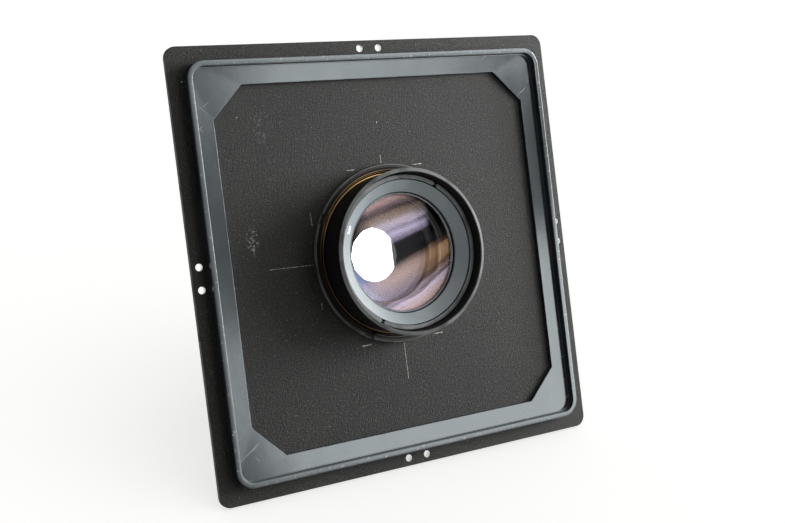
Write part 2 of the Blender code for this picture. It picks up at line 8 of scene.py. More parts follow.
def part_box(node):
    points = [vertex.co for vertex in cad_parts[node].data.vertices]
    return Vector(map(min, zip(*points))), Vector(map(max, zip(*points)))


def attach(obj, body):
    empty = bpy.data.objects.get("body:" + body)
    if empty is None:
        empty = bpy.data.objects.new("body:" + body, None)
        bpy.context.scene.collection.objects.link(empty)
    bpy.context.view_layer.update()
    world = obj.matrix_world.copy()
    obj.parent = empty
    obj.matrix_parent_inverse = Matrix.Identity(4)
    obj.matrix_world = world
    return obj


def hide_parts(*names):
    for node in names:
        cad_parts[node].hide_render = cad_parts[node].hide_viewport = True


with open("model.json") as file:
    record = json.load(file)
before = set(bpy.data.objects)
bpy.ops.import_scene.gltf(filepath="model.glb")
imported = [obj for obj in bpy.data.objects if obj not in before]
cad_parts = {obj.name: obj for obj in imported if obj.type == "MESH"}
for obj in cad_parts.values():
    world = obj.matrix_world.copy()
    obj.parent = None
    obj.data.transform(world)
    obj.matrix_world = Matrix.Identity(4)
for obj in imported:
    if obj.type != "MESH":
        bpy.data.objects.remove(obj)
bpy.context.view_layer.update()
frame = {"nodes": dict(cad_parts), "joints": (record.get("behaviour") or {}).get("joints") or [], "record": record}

MM = 0.001
ROOT = "board_unit"
AXIS_TOLERANCE = 0.02
SHARP_ANGLE = radians(40)
QUARTER_TURN = Matrix.Rotation(pi / 2, 4, "Z")

# Round pieces are spun in as many sides as their detail needs.
SIDES = 180
FINE_SIDES = 240
NOTCHED_SIDES = 360
KNURLED_SIDES = 480

SMALL_HOLE_R = 1.35
SMALL_HOLE_PITCH = 8.5
SMALL_HOLE_OFFSET = 82.3


def named(rows, name):
    return next(row for row in rows if row["name"] == name)


def frame_at(right, out, spot):
    """A frame at a spot, with x along right and z along out."""
    matrix = Matrix((right, out.cross(right), out)).transposed().to_4x4()
    matrix.translation = spot
    return matrix


def board_matrix():
    """From the board's frame to the row frame, both in metres."""
    turn = named(frame["joints"], "aperture_turn")
    out = Vector(turn["axis"]).normalized()
    on_axis = Vector(turn["pos_m"])
    seat = Vector(named(frame["record"]["mounts"], "rear_seat")["pos_m"])
    centre = on_axis + out * (seat - on_axis).dot(out)
    return frame_at(Vector((1.0, 0.0, 0.0)), out, centre)


BOARD = board_matrix()
FROM_MM = BOARD @ Matrix.Scale(MM, 4)
TO_MM = FROM_MM.inverted()


# ---- materials

class Look:
    """One material, with its record slot. Places in it are millimetres in the board's frame."""

    def __init__(self, name, slot, colour, roughness, metallic=0.0, **sockets):
        self.slot = slot
        self.material = bpy.data.materials.new(name)
        self.material.use_nodes = True
        self.tree = self.material.node_tree
        self.shader = self.tree.nodes["Principled BSDF"]
        self.set("Base Color", (*colour, 1.0))
        self.set("Roughness", roughness)
        self.set("Metallic", metallic)
        for socket, value in sockets.items():
            self.set(socket.replace("_", " "), value)
        where = self.node("TexCoord").outputs["Object"]
        self.place = self.mapped(where, TO_MM.translation, TO_MM.to_euler(), TO_MM.to_scale())
        split = self.node("SeparateXYZ")
        self.link(self.place, split.inputs[0])
        self.x, self.y, self.h = split.outputs
        self.normal = None

    def node(self, kind, **settings):
        made = self.tree.nodes.new("ShaderNode" + kind)
        for key, value in settings.items():
            setattr(made, key, value)
        return made

    def link(self, source, target):
        if isinstance(source, bpy.types.NodeSocket):
            self.tree.links.new(source, target)
        else:
            target.default_value = source

    def set(self, socket, value):
        self.link(value, self.shader.inputs[socket])

    def fed(self, made, values):
        """A node's first output, with values or links on its first inputs."""
        for value, socket in zip(values, made.inputs):
            self.link(value, socket)
        return made.outputs[0]

    def given(self, kind, **values):
        """A node with values or links on its named inputs."""
        made = self.node(kind)
        for socket, value in values.items():
            self.link(value, made.inputs[socket])
        return made

    def mapped(self, place, shift, turn, scale):
        return self.fed(self.node("Mapping"), (place, shift, turn, scale))

    def math(self, operation, *values):
        return self.fed(self.node("Math", operation=operation), values)

    def times(self, a, b):
        return self.math("MULTIPLY", a, b)

    def plus(self, a, b):
        return self.math("ADD", a, b)

    def minus(self, a, b):
        return self.math("SUBTRACT", a, b)

    def most(self, a, b):
        return self.math("MAXIMUM", a, b)

    def absolute(self, value):
        return self.math("ABSOLUTE", value)

    def vector(self, x, y, z):
        return self.fed(self.node("CombineXYZ"), (x, y, z))

    def reached(self, x, y, spot_x=0.0, spot_y=0.0):
        """Distance from a spot on the board."""
        off = self.minus(x, spot_x)
        rise = self.minus(y, spot_y)
        return self.math("SQRT", self.plus(self.times(off, off), self.times(rise, rise)))

    def radius(self):
        return self.reached(self.x, self.y)

    def angle(self):
        return self.math("ARCTAN2", self.y, self.x)

    def across(self, direction):
        """Distance across a direction that is given in degrees from x."""
        way = radians(direction)
        return self.minus(self.times(self.y, cos(way)), self.times(self.x, sin(way)))

    def span(self, value, low, high, kind="SMOOTHSTEP"):
        """0 at low and 1 at high, eased in between."""
        made = self.node("MapRange", interpolation_type=kind)
        return self.fed(made, (value, low, high))

    def band(self, value, low, high, soft):
        """1 between low and high, fading to 0 over twice a soft width."""
        rise = self.span(value, low - soft, low + soft)
        fall = self.span(value, high + soft, high - soft)
        return self.times(rise, fall)

    def noise(self, grain, detail=3.0, stretch=(1.0, 1.0, 1.0), shift=0.0, place=None, rough=0.5):
        """Noise whose grain is given in millimetres; another shift gives another pattern."""
        moved = (shift, shift * 0.7, shift * 1.3)
        scaled = self.mapped(place or self.place, moved, (0.0, 0.0, 0.0), [s / grain for s in stretch])
        made = self.given("TexNoise", Vector=scaled, Scale=1.0, Detail=detail, Roughness=rough)
        return made.outputs["Fac"]

    def patches(self, low, high, grain, detail, **more):
        """Soft-edged patches: noise that is 0 up to one value and 1 from another."""
        return self.span(self.noise(grain, detail, **more), low, high)

    def turning(self, grain, detail, along, shift=0.0):
        """Noise drawn out round the lens axis, as a lathe leaves it."""
        place = self.vector(self.radius(), self.h, self.times(self.angle(), along))
        return self.noise(grain, detail, place=place, shift=shift)

    def scratches(self, direction):
        """Long thin marks along a direction that is given in degrees from x."""
        along = self.times(self.across(direction - 90.0), 0.07)
        place = self.vector(self.across(direction), along, 0.0)
        return self.patches(0.68, 0.71, 1.3, 2.0, place=place, shift=direction)

    def cells(self, grain):
        """Rounded cells of a size in millimetres."""
        return self.given("TexVoronoi", Vector=self.place, Scale=1.0 / grain).outputs["Distance"]

    def drilled(self, x, y, spot_x, spot_y):
        """1 on the wall of a small hole that is drilled at a spot."""
        return self.span(self.reached(x, y, spot_x, spot_y), SMALL_HOLE_R + 0.08, SMALL_HOLE_R + 0.03)

    def mix(self, share, a, b):
        """A colour between two others."""
        made = self.node("Mix", data_type="RGBA")
        for value, socket in ((share, made.inputs[0]), (a, made.inputs[6]), (b, made.inputs[7])):
            if isinstance(value, tuple) and len(value) == 3:
                value = (*value, 1.0)
            self.link(value, socket)
        return made.outputs[2]

    def between(self, share, a, b):
        """A number between two others."""
        return self.math("MULTIPLY_ADD", share, b - a, a)

    def stops(self, value, low, high, colours):
        """A soft colour band: colours are (place, red, green, blue) between low and high."""
        made = self.node("ValToRGB")
        made.color_ramp.interpolation = "EASE"
        points = made.color_ramp.elements
        for i, (place, *colour) in enumerate(colours):
            share = (place - low) / (high - low)
            point = points[i] if i < 2 else points.new(share)
            point.position = share
            point.color = (*colour, 1.0)
        return self.fed(made, (self.span(value, low, high, "LINEAR"),))

    def bump(self, height, depth, strength):
        """Adds relief of a depth in millimetres."""
        made = self.given("Bump", Strength=strength, Distance=depth * MM, Height=height)
        if self.normal:
            self.link(self.normal, made.inputs["Normal"])
        self.normal = made.outputs["Normal"]
        self.set("Normal", self.normal)

    def colour(self, share, a, b):
        self.set("Base Color", self.mix(share, a, b))

    def dull(self, share, a, b):
        """Roughness between two values."""
        self.set("Roughness", self.between(share, a, b))

    def lathe(self, grain, along, smooth, rough, depth, strength=0.5):
        """Turning marks in the roughness and in the relief."""
        rings = self.turning(grain, 2.0, along)
        self.dull(rings, smooth, rough)
        self.bump(rings, depth, strength)


# The painted reflection streaks of the inner element: centre on the x axis and radius of the circle they end on.
INNER_CENTRE, INNER_REACH = -2.2, 18.9
# The painted glow of the bright field ends this far to the right of the axis.
FIELD_EDGE = 17.6
# Rubbed patches on the board's rear face: centre, half width, half height and strength.
RUBBED_PATCHES = ((-60.0, 11.5, 3.0, 7.0, 0.3), (-51.0, 54.0, 6.0, 8.0, 0.07))


def rubbed_patch(look, x, y, wide, tall, strength):
    """How far an oval patch of the rear face is rubbed pale."""
    off = look.math("POWER", look.math("DIVIDE", look.minus(look.x, x), wide), 2.0)
    rise = look.math("POWER", look.math("DIVIDE", look.minus(look.y, y), tall), 2.0)
    oval = look.times(look.span(look.plus(off, rise), 1.0, 0.0), look.span(look.h, -1.0, -0.4))
    rub = look.times(oval, look.patches(0.5, 0.68, 1.1, 3.0, shift=x))
    return look.times(rub, strength)


def crackle_look():
    """Black crackle paint on the board, dusty, with rubbed patches."""
    look = Look("board_crackle_paint", "board_crackle", (0.013, 0.0128, 0.012), 0.55,
                Specular_IOR_Level=0.14)
    grain = look.noise(0.62, 5.0, rough=0.75)
    clouds = look.patches(0.35, 0.65, 38.0, 3.0)
    base = look.mix(clouds, (0.0030, 0.0029, 0.0027), (0.0050, 0.0048, 0.0043))
    base = look.mix(look.span(grain, 0.50, 0.74), base, (0.038, 0.0365, 0.031))
    base = look.mix(look.patches(0.66, 0.76, 0.7, 2.0, shift=7.0), base, (0.072, 0.069, 0.06))
    base = look.mix(look.patches(0.78, 0.82, 2.2, 2.0, shift=3.0), base, (0.13, 0.125, 0.12))
    for patch in RUBBED_PATCHES:
        base = look.mix(rubbed_patch(look, *patch), base, (0.42, 0.42, 0.40))
    across, up = look.absolute(look.x), look.absolute(look.y)
    edge = look.span(look.most(across, up), 85.3, 85.47)
    worn = look.times(edge, look.patches(0.2, 0.6, 6.0, 4.0))
    base = look.mix(worn, base, (0.10, 0.10, 0.095))
    apart, out = SMALL_HOLE_PITCH / 2, SMALL_HOLE_OFFSET
    bare = look.most(look.drilled(across, up, apart, out), look.drilled(across, up, out, apart))
    look.colour(bare, base, (0.88, 0.88, 0.87))
    look.set("Metallic", look.times(bare, 0.4))
    look.dull(grain, 0.46, 0.72)
    look.bump(look.cells(0.7), 0.12, 0.6)
    look.bump(grain, 0.28, 0.9)
    return look


def gusset_scratches(look):
    """Crossing scratches on the flat of the light trap, near its corners only."""
    corner = look.span(look.plus(look.absolute(look.x), look.absolute(look.y)), 126.0, 133.0)
    flat = look.times(corner, look.span(look.h, 1.9, 1.7))
    return look.times(flat, look.most(look.scratches(35.0), look.scratches(-44.0)))


def rim_dullness(look, rim):
    """Added roughness of the rim: none on its right side, apart from that side's outer edge."""
    others = look.times(rim, look.span(look.x, 76.0, 74.0))
    outer_edge = look.times(look.span(look.x, 78.95, 79.15), 0.4)
    return look.plus(look.times(others, 0.13), outer_edge)


def trap_look():
    """Blue-grey black satin finish of the light trap, rubbed light on its rim."""
    look = Look("light_trap_satin", "light_trap", (0.012, 0.015, 0.018), 0.16, Specular_IOR_Level=0.62,
                Specular_Tint=(0.88, 0.98, 1.0, 1.0))
    base = look.mix(look.patches(0.36, 0.64, 22.0, 4.0), (0.006, 0.008, 0.011), (0.012, 0.014, 0.016))
    nicks = look.patches(0.62, 0.70, 1.5, 3.0, shift=11.0)
    rim = look.span(look.h, 4.0, 4.36)
    base = look.mix(look.times(rim, 0.3), base, (0.04, 0.042, 0.042))
    base = look.mix(look.times(look.times(rim, nicks), 0.5), base, (0.16, 0.165, 0.16))
    dusty = look.patches(0.55, 0.78, 5.0, 5.0, shift=21.0, rough=0.7)
    base = look.mix(look.times(dusty, 0.3), base, (0.03, 0.032, 0.032))
    scratched = gusset_scratches(look)
    look.colour(look.times(scratched, 0.45), base, (0.10, 0.105, 0.10))
    added_dullness = look.most(rim_dullness(look, rim), look.times(scratched, 0.15))
    smears = look.noise(9.0, 4.0, stretch=(1.0, 0.25, 1.0), shift=4.0)
    look.set("Roughness", look.plus(look.between(smears, 0.08, 0.2), added_dullness))
    look.bump(look.noise(0.35, 2.0), 0.012, 0.3)
    look.bump(look.noise(6.0, 2.0), 0.05, 0.3)
    return look


# Heights that turned_black() takes for a piece that is rubbed all over.
ALL_OVER = (-200.0, -190.0)


def turned_black(name, unworn, worn, rough=0.32, gloss=0.25):
    """Black anodised metal with turning marks, rubbed in patches from one height to another."""
    look = Look(name, "satin_black", (0.006, 0.006, 0.0065), 0.4, Specular_IOR_Level=gloss)
    patchy = look.turning(5.0, 4.0, 20.0)
    wear = look.times(look.times(look.span(look.h, unworn, worn), look.span(patchy, 0.15, 0.6)), 0.6)
    look.colour(wear, (0.005, 0.005, 0.0055), (0.11, 0.114, 0.114))
    look.lathe(0.16, 0.4, rough, rough + 0.18, 0.012)
    return look


def rub_and_glint_share(look):
    """How far the brass shows: a little everywhere as rubbed metal, mostly at the upper left as a painted glint.
    """
    return look.between(look.band(look.angle(), radians(95.0), radians(165.0), 0.15), 0.15, 0.95)


def enamel_look():
    """Fine black enamel; the mounting thread is blackened brass, bare along a ring: a little rubbed all round, and
    a painted glint at the upper left.
    """
    look = Look("shutter_enamel", "shutter_paint", (0.014, 0.014, 0.0145), 0.42)
    pebble = look.noise(0.3, 3.0)
    radius = look.radius()
    thread = look.times(look.span(look.h, -2.1, -1.9), look.span(radius, 33.4, 33.2))
    # The brass band is a little rubbed all round and brightest at the upper left, where it is a painted glint.
    bare = look.times(look.band(radius, 31.75, 32.1, 0.07), rub_and_glint_share(look))
    brass = look.mix(bare, (0.012, 0.009, 0.006), (0.32, 0.20, 0.08))
    look.colour(thread, (0.014, 0.014, 0.0145), brass)
    look.set("Metallic", look.times(thread, 0.9))
    look.dull(pebble, 0.34, 0.52)
    look.bump(pebble, 0.02, 0.45)
    return look


def retainer_look():
    """Blackened brass ring, worn to a grey edge outside, with thin golden lines inside: a little rubbed all round
    and brightest at the upper left, where they are a painted glint.
    """
    look = Look("blackened_brass", "brass_black", (0.004, 0.004, 0.004), 0.45, Specular_IOR_Level=0.14)
    patchy = look.turning(5.0, 4.0, 20.0, shift=2.0)
    radius = look.radius()
    edge = look.times(look.span(radius, 35.15, 35.4), look.span(patchy, 0.2, 0.5))
    lines = look.plus(look.band(radius, 33.3, 33.45, 0.06), look.band(radius, 32.62, 32.8, 0.06))
    # The golden lines are painted glints on the thread at the upper left, with a little rubbed brass elsewhere.
    golden = look.times(lines, rub_and_glint_share(look))
    base = look.mix(look.times(edge, 0.6), (0.004, 0.004, 0.004), (0.11, 0.11, 0.105))
    look.colour(golden, base, (0.32, 0.20, 0.085))
    look.lathe(0.15, 0.4, 0.36, 0.5, 0.012)
    return look


def metal_look(name, slot, colour, roughness):
    """Turned bare or plated metal with soft stains."""
    look = Look(name, slot, colour, roughness, 1.0)
    darker = tuple(0.72 * c for c in colour)
    look.colour(look.patches(0.35, 0.7, 7.0, 4.0, shift=5.0), colour, darker)
    look.lathe(0.14, 0.5, roughness * 0.75, roughness * 1.25, 0.01)
    return look


def satin_grey_look():
    """Satin blue-grey anodising on the conical ring round the glass."""
    look = Look("satin_grey_anodising", "satin_grey", (0.15, 0.17, 0.175), 0.5, Specular_IOR_Level=0.3)
    look.colour(look.patches(0.3, 0.7, 9.0, 3.0), (0.102, 0.121, 0.128), (0.122, 0.139, 0.146))
    look.lathe(0.12, 0.3, 0.4, 0.55, 0.008, 0.3)
    return look


def blade_look():
    """Blackened spring steel, paler and duller in patches."""
    look = Look("blackened_blades", "blade_black", (0.02, 0.02, 0.022), 0.42, 0.6, Specular_IOR_Level=0.1)
    rub = look.patches(0.5, 0.75, 2.6, 4.0, stretch=(1.0, 1.0, 0.2))
    look.colour(rub, (0.005, 0.005, 0.006), (0.02, 0.02, 0.022))
    look.dull(rub, 0.36, 0.5)
    look.bump(look.noise(0.3, 2.0), 0.01, 0.4)
    return look


def paint_look():
    """White filling of engraved figures and ticks."""
    look = Look("engraving_white", "satin_grey", (0.62, 0.62, 0.6), 0.6)
    look.colour(look.patches(0.4, 0.7, 0.5, 3.0), (0.7, 0.7, 0.68), (0.42, 0.42, 0.4))
    look.bump(look.noise(0.2, 2.0), 0.01, 0.5)
    return look


def scribe_look():
    """Bare metal and chalky dust in the layout lines scratched through the paint."""
    look = Look("scribed_metal", "board_crackle", (0.26, 0.25, 0.23), 0.5, 0.3)
    look.colour(look.patches(0.36, 0.6, 0.7, 3.0), (0.04, 0.039, 0.035), (0.26, 0.25, 0.23))
    look.bump(look.noise(0.15, 2.0), 0.02, 0.6)
    return look


def plain_glass_look(name, tint, cover):
    """A coated element: a clear body with a thin tinted mirror on it."""
    look = Look(name, "coated_glass", tint, 0.03, 1.0)
    drift = look.patches(0.3, 0.7, 16.0, 2.0)
    look.colour(drift, tint, tuple(0.6 * c for c in tint))
    look.set("Alpha", look.between(drift, cover, cover * 0.6))
    return look


def streak_colour(look, across, reach, colours):
    """Painted reflection streaks that bow and wander a little, with a painted cool reflection at the lower left.
    """
    wander = look.times(look.minus(look.noise(16.0, 2.0), 0.5), 2.5)
    along = look.plus(look.x, 8.0)
    bow = look.math("MULTIPLY_ADD", look.times(along, along), 0.00035, 1.0)
    streak = look.plus(look.times(across, bow), wander)
    colour = look.stops(streak, -reach, reach, colours)
    cool = look.times(look.span(look.x, -5.0, -15.0), look.span(look.y, 0.0, -8.0))
    return look.mix(look.times(cool, 0.6), colour, (0.17, 0.23, 0.40))


def streak_extent(look, across, circle, share):
    """Where streaks show: in a circle, unlit at the upper right and left, weak where others lie."""
    middle, limit, soft = circle
    within = look.span(look.reached(look.x, look.y, middle), limit + soft, limit - soft)
    sides = look.most(look.span(look.x, 11.0, 15.0), look.span(look.x, -12.0, -16.5))
    unlit = look.times(sides, look.span(across, 0.0, 3.0))
    in_front = look.span(look.reached(look.x, look.y, INNER_CENTRE), INNER_REACH + 0.3, INNER_REACH - 0.3)
    lower = look.times(look.span(across, 2.0, -2.0), in_front)
    kept = look.minus(1.0, look.times(lower, 1.0 - share))
    return look.times(look.times(within, kept), look.minus(1.0, unlit))


def streaked_glass_look(name, colours, reach, direction, circle, share):
    """A coated element with painted reflections: soft coloured streaks over a clear dark body.

    The circle that the streaks end on is its centre on the x axis, its radius and its softness.
    """
    look = Look(name, "coated_glass", (0.3, 0.3, 0.3), 0.2, Specular_IOR_Level=0.12)
    across, along = look.across(direction), look.across(direction - 90.0)
    colour = streak_colour(look, across, reach, colours)
    parts = look.node("SeparateColor")
    look.link(colour, parts.inputs[0])
    red, green, blue = parts.outputs
    cover = look.most(look.most(red, green), look.most(blue, 0.004))
    pure = look.node("VectorMath", operation="DIVIDE")
    look.set("Base Color", look.fed(pure, (colour, look.vector(cover, cover, cover))))
    fibres = look.noise(0.7, 3.0, place=look.vector(across, look.times(along, 0.05), 0.0))
    shown = streak_extent(look, across, circle, share)
    look.set("Alpha", look.times(cover, look.times(look.between(fibres, 0.30, 0.52), shown)))
    return look


def glow_field_look():
    """A painted glow that stands in for the bright background seen through the iris, with a dim border at the
    right.
    """
    look = Look("painted_glow_field", "coated_glass", (0.05, 0.055, 0.053), 0.3, Emission_Strength=3.0)
    haze = look.patches(0.3, 0.7, 14.0, 2.0)
    field = look.mix(haze, (0.86, 0.97, 0.97), (1.0, 1.0, 1.0))
    within = look.span(look.x, FIELD_EDGE + 0.3, FIELD_EDGE - 0.3)
    look.set("Emission Color", look.mix(within, (0.03, 0.036, 0.033), field))
    return look


def dark_glass_look():
    """The dark front face of the innermost front element."""
    look = Look("dark_element", "coated_glass", (0.006, 0.006, 0.01), 0.04, Specular_IOR_Level=0.8)
    tint = look.patches(0.3, 0.7, 15.0, 2.0)
    look.colour(tint, (0.004, 0.004, 0.008), (0.02, 0.012, 0.03))
    return look


# ---- outlines

def in_board(node):
    return [TO_MM @ vertex.co for vertex in frame["nodes"][node].data.vertices]


def reach(node):
    """Smallest and largest radius, then lowest and highest height, of a CAD node."""
    spots = in_board(node)
    radii = [hypot(p.x, p.y) for p in spots]
    heights = [p.z for p in spots]
    return min(radii), max(radii), min(heights), max(heights)


def traced(node):
    """The (radius, height) section of a turned CAD node, read where it crosses the x axis."""
    keys = {}
    for index, spot in enumerate(in_board(node)):
        if abs(spot.y) < AXIS_TOLERANCE and spot.x > -AXIS_TOLERANCE:
            keys[index] = (round(spot.x, 2), round(spot.z, 2))
    links = {}
    for edge in frame["nodes"][node].data.edges:
        a, b = (keys.get(index) for index in edge.vertices)
        if a and b and a != b:
            links.setdefault(a, set()).add(b)
            links.setdefault(b, set()).add(a)
    start = min(links, key=lambda key: (len(links[key]), key))
    path = [start]
    while True:
        onward = [key for key in sorted(links[path[-1]]) if key not in path]
        if not onward:
            return [Vector(key) for key in path]
        path.append(onward[0])


def eased(profile, size):
    """Rounds every corner of a closed section."""
    rounded = []
    count = len(profile)
    for i, corner in enumerate(profile):
        ends = []
        for neighbour in (profile[i - 1], profile[(i + 1) % count]):
            side = neighbour - corner
            ends.append(corner + side.normalized() * min(size, side.length * 0.4))
        for t in (0.0, 1 / 3, 2 / 3, 1.0):
            rounded.append(ends[0] * (1 - t) ** 2 + corner * 2 * t * (1 - t) + ends[1] * t ** 2)
    return rounded


def ridged(profile, radius, low, high, pitch, depth):
    """Cuts V-grooves in the straight stretches near a radius, between two heights."""
    grooved = []
    for a, b in zip(profile, profile[1:] + profile[:1]):
        grooved.append(a)
        near = all(abs(p.x - radius) < 0.6 and low <= p.y <= high for p in (a, b))
        count = int(abs(a.y - b.y) / pitch)
        if near and count > 1:
            for k in range(1, 2 * count):
                groove = a.lerp(b, k / (2 * count))
                grooved.append(groove - Vector((depth * (k % 2), 0.0)))
    return grooved


def cut_at(profile, radius, *heights):
    """Adds points to the upright stretches near a radius, so that a flute can start there."""
    denser = []
    for a, b in zip(profile, profile[1:] + profile[:1]):
        denser.append(a)
        if abs(a.x - b.x) < 0.01 and abs(a.x - radius) < 0.6:
            between = [h for h in heights if min(a.y, b.y) < h < max(a.y, b.y)]
            for h in sorted(between, reverse=a.y > b.y):
                denser.append(Vector((a.x, h)))
    return denser


def flutes(count, depth, low, high, outer):
    """A shape for turned(): grooves along the axis in the surface outside a radius."""
    def shape(radius, height, angle):
        if low <= height <= high and radius > outer:
            return radius - depth * (0.5 - 0.5 * cos(radians(angle * count)))
        return radius
    return shape


def notches(spots, half_angle, radius, to_radius, low=-1000.0):
    """A shape for turned(): slots that take the surface beyond a radius to another one.

    The points of a slot keep a little of their spacing, so that no face of it is squeezed flat.
    """
    def shape(found, height, angle):
        off = min(abs((angle - spot + 180) % 360 - 180) for spot in spots)
        beyond = found > radius if to_radius < found else found < radius
        if off <= half_angle and beyond and height > low:
            return to_radius + 0.02 * (found - to_radius)
        return found
    return shape


def section(*points):
    """A closed (radius, height) section."""
    return [Vector(point) for point in points]


def plain_ring(node):
    """The section of a CAD ring that has four corners."""
    bore, outer, low, high = reach(node)
    return section((outer, low), (outer, high), (bore, high), (bore, low))


def arc(centre, radius, start, end, steps):
    turn = (end - start) / steps
    angles = [radians(start + turn * i) for i in range(steps + 1)]
    return [Vector((centre[0] + radius * cos(a), centre[1] + radius * sin(a))) for a in angles]


def sector(first, second, start, end, steps):
    """A closed part of a flat ring, along one radius and back along the other."""
    return arc((0, 0), first, start, end, steps) + arc((0, 0), second, end, start, steps)


def circle(radius, sides, centre=(0.0, 0.0)):
    return arc(centre, radius, 0, 360, sides)[:-1]


def four_sided(corner, end, side_steps):
    """A closed path of four turned copies of a corner and of the split side from it to an end."""
    side = [corner[-1].lerp(end, k / side_steps) for k in range(1, side_steps)]
    spins = [Matrix.Rotation(radians(90 * turn), 2) for turn in range(4)]
    return [spin @ point for spin in spins for point in corner + side]


def rounded_square(half, corner_r, corner_steps, side_steps=1):
    inner = half - corner_r
    corner = arc((inner, inner), corner_r, 0, 90, corner_steps)
    return four_sided(corner, Vector((-inner, half)), side_steps)


def gusseted_square(half, leg, corner_steps, side_steps):
    """A square with straight cut corners, with as many points as a rounded one."""
    near = half - leg
    a, b = Vector((half, near)), Vector((near, half))
    corner = [a.lerp(b, k / corner_steps) for k in range(corner_steps + 1)]
    return four_sided(corner, Vector((-near, half)), side_steps)


# ---- building pieces

def added(name, data):
    """A new object in the scene."""
    made = bpy.data.objects.new(name, data)
    bpy.context.scene.collection.objects.link(made)
    return made


def mesh_of(name, verts, faces):
    mesh = bpy.data.meshes.new(name)
    mesh.from_pydata(verts, [], faces)
    return mesh


def strips(loops, count, closed=True):
    """The faces between equal rows of points that follow each other round and meet again."""
    faces = []
    for i in range(loops):
        here, there = i * count, (i + 1) % loops * count
        for k in range(count if closed else count - 1):
            n = (k + 1) % count
            faces.append((here + k, here + n, there + n, there + k))
    return faces


def evaluated_mesh(piece):
    """A piece's mesh with its modifiers, or its curve, worked out."""
    graph = bpy.context.evaluated_depsgraph_get()
    graph.update()
    return bpy.data.meshes.new_from_object(piece.evaluated_get(graph))


def clean(mesh, distance):
    """Joins points closer than a distance, drops empty faces, closes slits, turns faces out."""
    work = bmesh.new()
    work.from_mesh(mesh)
    bmesh.ops.remove_doubles(work, verts=work.verts, dist=distance)
    bmesh.ops.dissolve_degenerate(work, edges=work.edges, dist=distance)
    slits = [edge for edge in work.edges if edge.is_boundary]
    bmesh.ops.holes_fill(work, edges=slits, sides=0)
    bmesh.ops.recalc_face_normals(work, faces=work.faces)
    work.to_mesh(mesh)
    work.free()


def finished(name, mesh, look, nodes=(), body=ROOT, place=FROM_MM):
    """Gives a mesh in millimetres its place, material and body, and hides the CAD nodes it stands for."""
    clean(mesh, 1e-4)
    mesh.transform(place)
    mesh.shade_smooth()
    mesh.set_sharp_from_angle(angle=SHARP_ANGLE)
    mesh.materials.clear()
    mesh.materials.append(look.material)
    piece = added(name, mesh)
    piece.modifiers.new("normals", "WEIGHTED_NORMAL").keep_sharp = True
    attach(piece, body)
    if nodes:
        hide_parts(*nodes)
    return piece


def turned(name, profile, look, nodes=(), body=ROOT, sides=SIDES, shape=None, place=FROM_MM):
    """Spins a section round the axis; shape(radius, height, angle) may change its radius."""
    verts = []
    for i in range(sides):
        angle = 360 * i / sides
        c, s = cos(radians(angle)), sin(radians(angle))
        for point in profile:
            radius = shape(point.x, point.y, angle) if shape else point.x
            verts.append((radius * c, radius * s, point.y))
    hollow = profile[0].x > 0.01
    mesh = mesh_of(name, verts, strips(sides, len(profile), hollow))
    return finished(name, mesh, look, nodes, body, place)


def retraced(name, node, ease, look, sides=SIDES, shape=None):
    """A turned piece with the section of its CAD node, its corners rounded."""
    turned(name, eased(traced(node), ease), look, (node,), sides=sides, shape=shape)


def spanner_ring(name, node, look, *slots):
    """A turned ring with four corners and spanner notches."""
    ring = eased(plain_ring(node), 0.15)
    turned(name, ring, look, (node,), sides=NOTCHED_SIDES, shape=notches(*slots))


def curve_mesh(curve):
    """The mesh of a curve."""
    holder = added(curve.name, curve)
    mesh = evaluated_mesh(holder)
    bpy.data.objects.remove(holder)
    return mesh


def plate_mesh(name, outlines, top, bottom, ease):
    """A flat piece with rounded edges: the first outline is its edge, the others its holes."""
    curve = bpy.data.curves.new(name, "CURVE")
    curve.dimensions = "2D"
    curve.fill_mode = "BOTH"
    curve.extrude = (top - bottom) / 2 - ease
    curve.bevel_depth = ease
    curve.bevel_resolution = 2
    curve.offset = -ease
    for outline in outlines:
        spline = curve.splines.new("POLY")
        spline.points.add(len(outline) - 1)
        for point, spot in zip(spline.points, outline):
            point.co = (spot[0], spot[1], 0.0, 1.0)
        spline.use_cyclic_u = True
    mesh = curve_mesh(curve)
    mesh.transform(Matrix.Translation((0.0, 0.0, (top + bottom) / 2)))
    return mesh


def looped(name, loops, look, nodes):
    """A closed frame: loops of (x, y, h) points that follow each other round its section."""
    verts = [point for loop in loops for point in loop]
    mesh = mesh_of(name, verts, strips(len(loops), len(loops[0])))
    finished(name, mesh, look, nodes)


def joined(name, meshes):
    """One mesh of several."""
    whole = bmesh.new()
    for mesh in meshes:
        whole.from_mesh(mesh)
        bpy.data.meshes.remove(mesh)
    mesh = bpy.data.meshes.new(name)
    whole.to_mesh(mesh)
    whole.free()
    return mesh


def figure(text, size, place, depth=0.05):
    """Thin raised figures, drawn in millimetres."""
    curve = bpy.data.curves.new("figure", "FONT")
    curve.body = text
    curve.size = size
    curve.extrude = depth
    curve.align_x = "CENTER"
    curve.align_y = "CENTER"
    curve.resolution_u = 4
    mesh = curve_mesh(curve)
    mesh.transform(place)
    return mesh


def bar(length, width, height, place):
    """A thin stroke along x, standing on the plane it is placed in, pointed at both ends."""
    tip = min(width, length * 0.2)
    outline = [(-length / 2, 0), (-length / 2 + tip, -width / 2), (length / 2 - tip, -width / 2),
               (length / 2, 0), (length / 2 - tip, width / 2), (-length / 2 + tip, width / 2)]
    verts = [(x, y, h) for h in (-height, height) for x, y in outline]
    sides = [(i, (i + 1) % 6, 6 + (i + 1) % 6, 6 + i) for i in range(6)]
    mesh = mesh_of("bar", verts, [(5, 4, 3, 2, 1, 0), (6, 7, 8, 9, 10, 11)] + sides)
    mesh.transform(place)
    return mesh


def on_face(angle, radius, height, front=False):
    """A place on a flat ring, with y pointing away from the axis; front faces the lens's front."""
    turn = Matrix.Rotation(radians(angle - 90), 4, "Z")
    flip = Matrix.Rotation(pi, 4, "Y") if front else Matrix.Identity(4)
    return turn @ Matrix.Translation((0.0, radius, height)) @ flip


